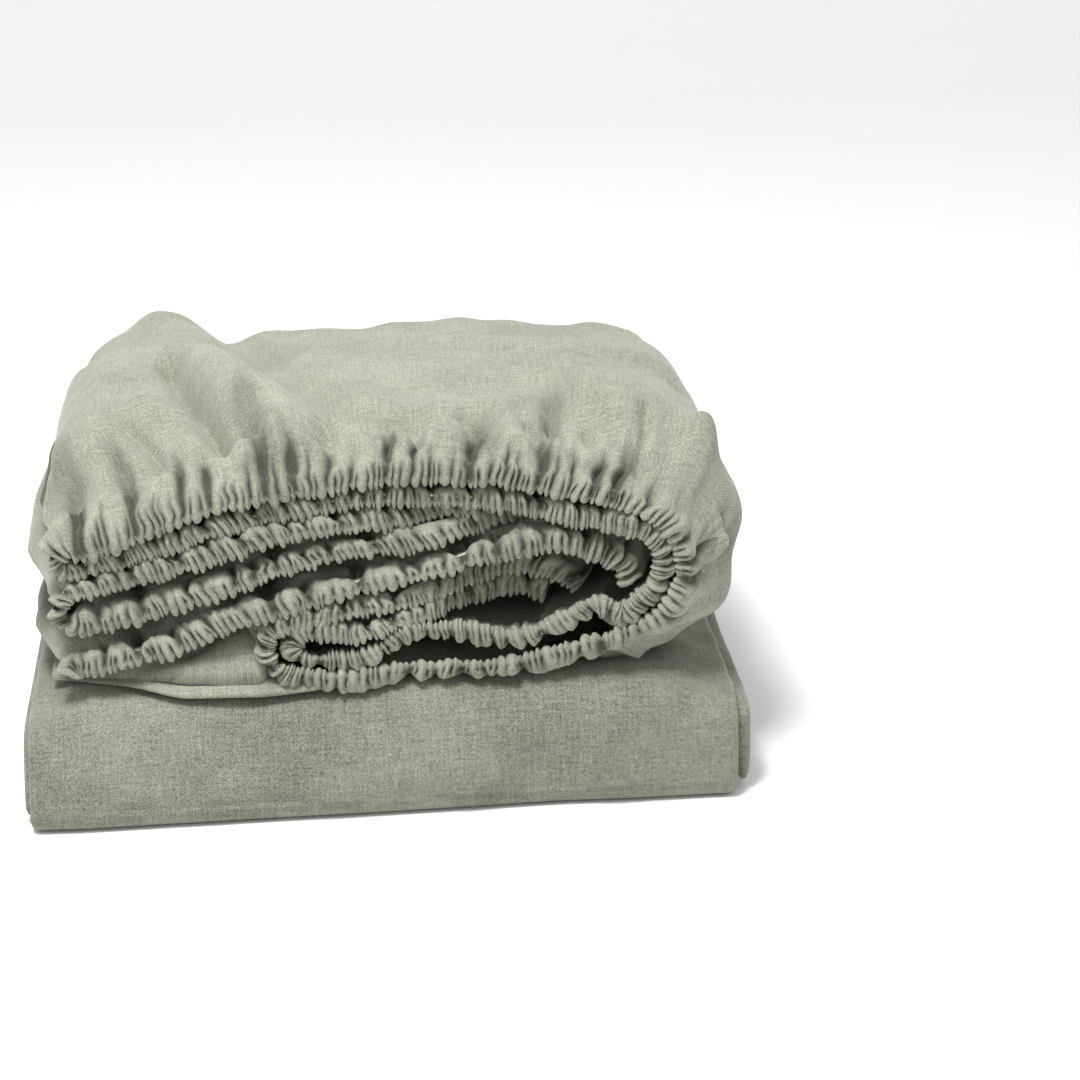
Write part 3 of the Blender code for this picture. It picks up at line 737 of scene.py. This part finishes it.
def painted_gap_shade(strip, most=0.5, start=0.020):
    """Painted shade for the cloth between the folds, where hardly any light comes: its colour is darkened, up
    to most, from start back from the hem.
    """
    return np.maximum(strip.painted_shade, most * smooth_step(strip.b, start, start + 0.035))


def finish_sheet(name, points, uv, painted_shade=None):
    """A sheet of linen from these rows of points."""
    obj = grid_object(name, points, uv, SHEET_LINEN, painted_shade=painted_shade)
    return obj


def of_stretches(*names):
    """The frame's pieces of cloth of these stretches of hem."""
    return [name + part for name in names for part in ("_ply", "_hem_casing")]


def place_elastic(strip, name, nodes, body=None):
    """body None: its placement is baked into its points, and it goes with no body."""
    obj = strip.elastic(name)
    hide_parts(*nodes)
    if body:
        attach(obj, body)
    else:
        bend_round_end(obj)
    return obj


def bend_round_end(obj):
    """The piece's placement is baked into its points; it is not attached to a body."""
    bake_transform(obj)


def outer_sheet():
    """The outer cloth: over the top, round the right end and back along the cover."""
    line = HemLine(TOP_FOLD[2:], OUTER_TOP, OUTER_BOTTOM, deep=DEEP_OUTER)
    strip = Strip(line, 11, pitch=2.9, back=0.190, rows_back=56, tall=tall_weight(line),
                  lift=heaped(line), level=0, slant=0.3, strength=1.25, puff=1.35, join=0.4)
    turn_at = line.run[np.argmax(line.xz[:, 0])]
    pts = top_features(strip, strip.points(), turn_at)
    lower = smooth_step(pts[..., 2], 0.085, 0.075)
    pts = rounded_back(pts, 0.044, 0.0925, OUTER_CLOSES)
    # its lower part ends further in, so that the cloth behind it covers it
    pts[..., 1] -= (0.007 * lower * smooth_step(pts[..., 1], 0.040, 0.090)
                    * smooth_step(pts[..., 0], 0.106, 0.086))
    pts = clamp_to_cover(pts)
    elastic = place_elastic(strip, "outer_elastic", ["top_outer_hem_elastic", "bottom_outer_hem_elastic"])
    obj = finish_sheet("outer_sheet", pts, strip.uv, painted_shade=strip.painted_shade)
    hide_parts(*of_stretches("top_outer", "bottom_outer"), "corner_pocket")
    bend_round_end(obj)


def inner_sheet():
    """The cloth next inside it."""
    line = HemLine(INNER_BOTTOM, INNER_TOP, TOP_FOLD[:3], outward=-1)
    strip = Strip(line, 23, pitch=2.0, each=6, back=0.178, rows_back=18, slant=0.4, puff=0.7,
                  setback=0.0015)
    pts = rounded_back(strip.points(), 0.040, 0.084, INNER_CLOSES)
    pts = clamp_to_cover(pts)
    elastic = place_elastic(strip, "inner_elastic", ["top_inner_hem_elastic", "bottom_inner_hem_elastic",
                                                     "left_fold_top_hem_elastic"])
    # painted shade: the lower cloth of this sheet, deep inside the stack, is painted darker
    low = smooth_step(pts[..., 2], 0.104, 0.088)
    obj = finish_sheet("inner_sheet", pts, strip.uv,
                       painted_shade=painted_gap_shade(strip, 0.25 + 0.65 * low, 0.014))
    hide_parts(*of_stretches("top_inner", "bottom_inner", "left_fold_top"))
    bend_round_end(obj)


def base_sheet(name, line, seed, stretches, back=0.170, dark=0.95, **options):
    """One of the sheets that stay with the base; dark is how dark the painted shade is deep between the
    folds.
    """
    strip = Strip(line, seed, back=back, each=6, **options)
    pts = rounded_back(strip.points(), 0.038, 0.082, BASE_CLOSES, share=0.6)
    pts = clamp_to_cover(pts)
    elastic = place_elastic(strip, name.replace("sheet", "elastic"),
                            [stretch + "_hem_elastic" for stretch in stretches], "sheet_base")
    obj = finish_sheet(name, pts, strip.uv,
                       painted_shade=painted_gap_shade(strip, dark, 0.010))
    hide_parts(*of_stretches(*stretches))
    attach(obj, "sheet_base")


outer_sheet()
inner_sheet()
base_sheet("curl_sheet", HemLine(OUTER_CURL, RECESS_UPPER), 31, ["curl_outer", "recess_upper"],
           back=0.120, pitch=2.2, rows_back=10, slant=0.35, puff=0.6, sunk=(-5, 52, 17))
base_sheet("inner_curl_sheet", HemLine(RECESS_LOWER, INNER_CURL, outward=-1), 37,
           ["curl_inner", "recess_lower"],
           back=0.100, pitch=2.2, rows_back=8, slant=0.3, puff=0.3, sunk=(0, 50, 19))
base_sheet("middle_upper_sheet", HemLine(MIDDLE_UPPER, MIDDLE_FOLD[:3], outward=-1), 41,
           ["middle_upper", "left_fold_middle"],
           pitch=2.3, rows_back=14, slant=0.35, puff=0.6, sunk=(-20, 30, 7), dark=0.3, strength=1.15)
base_sheet("middle_lower_sheet", HemLine(MIDDLE_FOLD[2:], MIDDLE_LOWER), 43, ["middle_lower"],
           pitch=2.5, rows_back=14, slant=-0.4, puff=0.75, sunk=(10, 54, 12), strength=1.25)
petal_line = HemLine(PETAL, LOWER_FOLD[:3], outward=-1)
base_sheet("petal_sheet", petal_line, 47, ["petal", "left_fold_lower"],
           pitch=2.8, rows_back=16, slant=0.45, puff=0.9, strength=1.35, join=0.4,
           tall=lambda s: 0.8 * smooth_step(petal_line.at(s)[0], 0.056, 0.080), sunk=(58, 90, 6))


# ---------- the smooth cloth left of the curl

def tail_thickness(x):
    """Half the height of the lower smooth fold."""
    return 0.0007 + 0.0014 * smooth_step(x, -0.122, -0.080) - 0.0010 * smooth_step(x, -0.060, -0.006)


def tail_front(x):
    """Its front edge, which runs back towards the left."""
    return HEM_FRONT - 0.0004 + 0.020 * smooth_step(x, -0.070, -0.132) + 0.004 * smooth_step(x, -0.05, -0.008)


TAIL_FALLS = 0.42  # of how far the cover falls; the smooth folds bridge its rounded front


def tail_sheet():
    """Smooth folds that taper to the left, and the cloth that closes the lower back."""
    nx, ny = 190, 120
    x = np.linspace(-0.122, 0.103, nx)
    front = tail_front(x) + 0.0030 * smooth_step(x, -0.130, -0.090) + 0.056 * smooth_step(x, -0.046, -0.026)
    t = np.concatenate((np.linspace(0, 0.16, 50, endpoint=False), np.linspace(0.16, 1, ny - 50)))[:, None]
    X = np.broadcast_to(x[None, :], (ny, nx))
    Y = front[None, :] + (0.0918 - front[None, :]) * t
    left = smooth_step(X, -0.030, -0.047)
    most = np.interp(X, (-0.122, -0.107, -0.075, -0.052), (0.0030, 0.0066, 0.0128, 0.0195))
    rise = (1 - np.clip(1 - (Y - front[None, :]) / 0.024, 0, 1) ** 2.2) ** (1 / 1.9)
    bundle = 2 * tail_thickness(X) - 0.0018 + most * rise * smooth_step(Y, 0.06, 0.0)
    height = FLOOR + 0.0008 + left * bundle
    height = height + 0.0008 * lattice_noise(X, Y, 0.03, 0.05, 71) * rise
    height = height - 0.0018 * left * along(X, Y, [(-100, -92), (-84, -86), (-66, -84), (-54, -76)], 2.5, 5)
    height = height - 0.0022 * left * along(X, Y, [(-72, -86), (-62, -80), (-52, -66)], 2.0, 4)
    height = height + 0.0016 * left * along(X, Y, [(-112, -94), (-90, -94), (-66, -94)], 3, 3)
    pts = np.stack([X, Y, height - TAIL_FALLS * cover_falls(X, Y)], axis=-1)
    pts = rounded_back(pts, 0.046, 0.0915, TAIL_CLOSES)
    # painted shade: a thin dark line along the front edge, where the fold meets the cloth below
    painted_edge_shade = 0.8 * np.exp(-((Y - front[None, :]) / 0.0006) ** 2)
    obj = finish_sheet("tail_sheet", pts, np.stack([X, Y], axis=-1), painted_shade=painted_edge_shade)
    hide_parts("tail_upper_ply")
    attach(obj, "sheet_base")


def tail_lower():
    """The lower of the two smooth folds, a rounded bundle that thins to the right."""
    nx = 100
    x = np.linspace(-0.122, -0.006, nx)
    ring = np.linspace(0, 2 * math.pi, 36, endpoint=False)
    thick = tail_thickness(x)
    front, back = tail_front(x), -0.020
    c, w = np.cos(ring)[None, :], np.sin(ring)[None, :]
    mid, half = (front[:, None] + back) / 2, (back - front[:, None]) / 2
    Y = mid - half * np.sign(c) * np.abs(c) ** 0.22
    Z = FLOOR + thick[:, None] + np.sign(w) * np.abs(w) ** 0.75 * thick[:, None]
    X = np.broadcast_to(x[:, None], Y.shape)
    Z = Z + 0.0005 * lattice_noise(X, Y, 0.02, 0.03, 75) * (w > 0) - TAIL_FALLS * cover_falls(X, Y)
    pts = np.stack([X, Y, Z], axis=-1)
    # painted shade on the underside, where the fold lies on the cover
    painted_contact_shade = 0.9 * smooth_step(np.broadcast_to(w, Y.shape), 0.45, -0.15)
    obj = finish_sheet("tail_lower_fold", pts, np.stack([X, Y + Z], axis=-1),
                       painted_shade=painted_contact_shade)
    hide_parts("tail_lower_ply")
    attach(obj, "sheet_base")


tail_lower()
tail_sheet()


# ---------- the folded cover

WRAP_THICK = 0.0058
BODY_COLUMNS, FLAT_ROWS, NOSE_ROWS = 120, 45, 61
THINNEST = 0.02  # the square of the thickness that is left at the very edge of a ply


def soft_end(inside, reach):
    """The share of its thickness that a ply has this far inside its edge; it thins over the reach."""
    return np.sqrt(np.clip(1 - np.clip((reach - inside) / reach, 0, 1) ** 2, THINNEST, 1))


def side_view(inset, half):
    """A wrap of this half height seen from the side: places, outward normals and the length so far."""
    back = COVER_BACK - 0.002 - inset * 0.4
    front = COVER_FRONT - 0.0015 + inset + WRAP_THICK / 2
    a = np.linspace(0, math.pi, NOSE_ROWS)
    above = a < math.pi / 2
    power = np.where(above, 0.80, 0.50)
    depth = np.where(above, 0.019 - inset, 0.0065)
    nose_y = front + depth * (1 - np.abs(np.sin(a)) ** power)
    nose_z = COVER_MIDDLE + np.sign(np.cos(a)) * np.abs(np.cos(a)) ** power * half
    flat_y = np.linspace(back, nose_y[0], FLAT_ROWS + 1)[:-1]
    ys = np.concatenate((flat_y, nose_y, flat_y[::-1]))
    zs = np.concatenate((np.full(FLAT_ROWS, COVER_MIDDLE + half), nose_z,
                         np.full(FLAT_ROWS, COVER_MIDDLE - half)))
    run = arc_length(np.stack([ys, zs], axis=1))
    ty, tz = np.gradient(ys, run), np.gradient(zs, run)
    ny, nz = tz, -ty
    size = np.hypot(ny, nz)
    return ys, zs, ny / size, nz / size, run


def cover_wrap(name, inset, left, right, nodes, seed):
    """One nested ply of the cover: top, round the front fold and back under, with soft ends."""
    ys, zs, ny, nz, run = side_view(inset, COVER_TOP / 2 - inset - WRAP_THICK / 2)
    r = WRAP_THICK / 2
    body = np.linspace(left + r, right - r, BODY_COLUMNS)
    round_end = np.linspace(0, math.pi, 9)[1:-1]
    ring_x = np.concatenate((body, right - r + r * np.sin(round_end),
                             body[::-1], left + r - r * np.sin(round_end)))
    ring_n = np.concatenate((np.full(BODY_COLUMNS, r), r * np.cos(round_end),
                             np.full(BODY_COLUMNS, -r), -r * np.cos(round_end)))
    ends = soft_end(np.minimum(run, run[-1] - run), r * 1.2)
    n = ring_n[None, :] * ends[:, None]
    X = np.broadcast_to(ring_x[None, :], n.shape)
    S = np.broadcast_to(run[:, None], n.shape)
    soft = 0.0016 * lattice_noise(X + 0.7 * S, S - 0.5 * X, 0.055, 0.035, seed)
    soft = soft + 0.0012 * lattice_noise(X - 0.6 * S, S, 0.024, 0.015, seed + 1)
    soft = soft + 0.0005 * lattice_noise(X + 0.4 * S, S, 0.010, 0.008, seed + 2)
    under = (zs[:, None] < 0.008) & (ring_n[None, :] > 0)
    push = n + np.where(ring_n[None, :] > 0, 1, 0) * soft * np.where(under, 0.0, 1.0)
    Y = ys[:, None] + ny[:, None] * push
    Z = zs[:, None] + nz[:, None] * push
    pts = np.stack([X, Y, Z], axis=-1)
    pts[..., 2] = np.maximum(pts[..., 2], 0.0)
    droop = smooth_step(np.abs(X - (left + right) / 2), (right - left) / 2 - 0.026, (right - left) / 2)
    pts[..., 2] -= 0.0065 * droop * smooth_step(pts[..., 2], COVER_MIDDLE, COVER_TOP)
    lowered = smooth_step(np.abs(X), 0.1275, 0.1315) * smooth_step(pts[..., 2], COVER_MIDDLE, 0.004)
    pts[..., 2] = np.maximum(pts[..., 2] - inset * lowered * 0.9, 0.0)
    foot = 0.25 + 0.75 * smooth_step(pts[..., 2], COVER_TOP * 0.85, 0.004)
    forward = cover_forward(X) + 0.0012 * lattice_noise(X, 0, 0.034, 1, seed + 3)
    pts[..., 1] -= forward * smooth_step(pts[..., 1], 0.0, COVER_FRONT) * foot
    obj = grid_object(name, pts, np.stack([X, S], axis=-1), COVER_LINEN, closed=True)
    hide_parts(*nodes)
    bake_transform(obj)
    return obj


def cover_core(name, side, seed, nodes):
    """The inner folded leaves: two soft-edged folds in each half."""
    for k in range(2):
        low, high = 0.0004 + k * 0.0052, 0.0052 + k * 0.0052
        r = (high - low) / 2
        left, right = -0.1318 + k * 0.0012, 0.1322 - k * 0.0016
        front, back = COVER_FRONT + 0.0135, COVER_BACK - 0.004 - 0.002 * k
        ring = np.linspace(0, 2 * math.pi, 24, endpoint=False)
        x = np.linspace(left, right, 90)
        end = soft_end((right - left) / 2 - np.abs(x - (left + right) / 2), r)
        yc, yr = (front + back) / 2, (back - front) / 2
        cy = np.sign(np.cos(ring)) * np.abs(np.cos(ring)) ** 0.08
        cz = np.sign(np.sin(ring)) * np.abs(np.sin(ring)) ** 0.5
        Y = yc + cy[None, :] * (yr - r * (1 - end[:, None]))
        Z = COVER_MIDDLE + side * (low + r + cz[None, :] * r * end[:, None])
        X = np.broadcast_to(x[:, None], Y.shape)
        Z = Z + 0.0003 * lattice_noise(X, Y, 0.05, 0.05, seed + k)
        pts = np.stack([X, Y, Z], axis=-1)
        obj = grid_object(name + "_" + str(k), pts, np.stack([X, Y], axis=-1), COVER_LINEN, closed=True)
        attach(obj, "cover_leaf" if side > 0 else "cover_base")
        if k == 0:
            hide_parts(*nodes)


cover_wrap("cover_outer_wrap", 0.0, -0.1300, 0.1285,
           ["cover_outer_ply_upper", "cover_outer_ply_lower"], 81)
cover_wrap("cover_second_wrap", 0.0062, -0.1322, 0.1338,
           ["cover_second_ply_upper", "cover_second_ply_lower"], 87)
cover_core("cover_core_upper", 1, 91, ["cover_core_ply_upper"])
cover_core("cover_core_lower", -1, 95, ["cover_core_ply_lower"])


# ---------- stage, light and camera

def stage():
    """A pale floor that turns up into a wall behind."""
    mat = bpy.data.materials.new("pale_floor")
    mat.use_nodes = True
    nodes, links = mat.node_tree.nodes, mat.node_tree.links
    shader = nodes["Principled BSDF"]
    tex = nodes.new("ShaderNodeTexNoise")
    tex.inputs["Scale"].default_value = 3.0
    ramp = nodes.new("ShaderNodeValToRGB")
    ramp.color_ramp.elements[0].color = (0.86, 0.86, 0.85, 1)
    ramp.color_ramp.elements[1].color = (0.90, 0.90, 0.89, 1)
    links.new(tex.outputs["Fac"], ramp.inputs["Fac"])
    links.new(ramp.outputs["Color"], shader.inputs["Base Color"])
    shader.inputs["Roughness"].default_value = 0.9
    size, depth = 6.0, 6.0
    a = np.linspace(0, math.pi / 2, 12)
    ys = np.concatenate(([-depth], [1.2], 1.2 + 1.0 * np.sin(a), [2.2]))
    zs = np.concatenate(([0.0], [0.0], 1.0 - 1.0 * np.cos(a), [4.0])) - 0.0003
    xs = np.array([-size, size])
    pts = np.stack(np.broadcast_arrays(xs[None, :], ys[:, None], zs[:, None]), axis=-1).astype(float)
    obj = grid_object("floor_sweep", pts, pts[..., :2].copy(), mat)


def area_light(name, place, target, size, power, colour=(1, 1, 1)):
    data = bpy.data.lights.new(name, "AREA")
    data.shape = "RECTANGLE"
    data.size, data.size_y = size
    data.energy = power
    data.color = colour
    obj = bpy.data.objects.new(name, data)
    obj.location = place
    obj.rotation_euler = (Vector(target) - Vector(place)).to_track_quat("-Z", "Y").to_euler()
    bpy.context.scene.collection.objects.link(obj)


def lights():
    """Even light from all round, and a window high in front on the left."""
    world = bpy.data.worlds.new("studio")
    world.use_nodes = True
    world.node_tree.nodes["Background"].inputs["Color"].default_value = (0.97, 0.98, 1.0, 1.0)
    world.node_tree.nodes["Background"].inputs["Strength"].default_value = 0.89
    bpy.context.scene.world = world
    area_light("window", (-0.20, -0.42, 0.98), (0, 0, 0.08), (0.3, 0.3), 14.0, (1.0, 0.99, 0.96))


def camera():
    """A long lens, a little to the left and above, with no tilt."""
    data = bpy.data.cameras.new("camera")
    data.lens = 100.0
    data.sensor_width = 36.0
    obj = bpy.data.objects.new("camera", data)
    look = Vector((0.055, -0.100, 0.103))
    turn, lift, away = math.radians(-5), math.radians(20), 1.0714
    back = Vector((math.sin(turn) * math.cos(lift), -math.cos(turn) * math.cos(lift), math.sin(lift)))
    obj.location = look + back * away
    obj.rotation_euler = (-back).to_track_quat("-Z", "Y").to_euler()
    data.clip_end = 20
    bpy.context.scene.collection.objects.link(obj)
    bpy.context.scene.camera = obj


stage()
lights()
camera()
bpy.context.scene.view_settings.view_transform = "Standard"
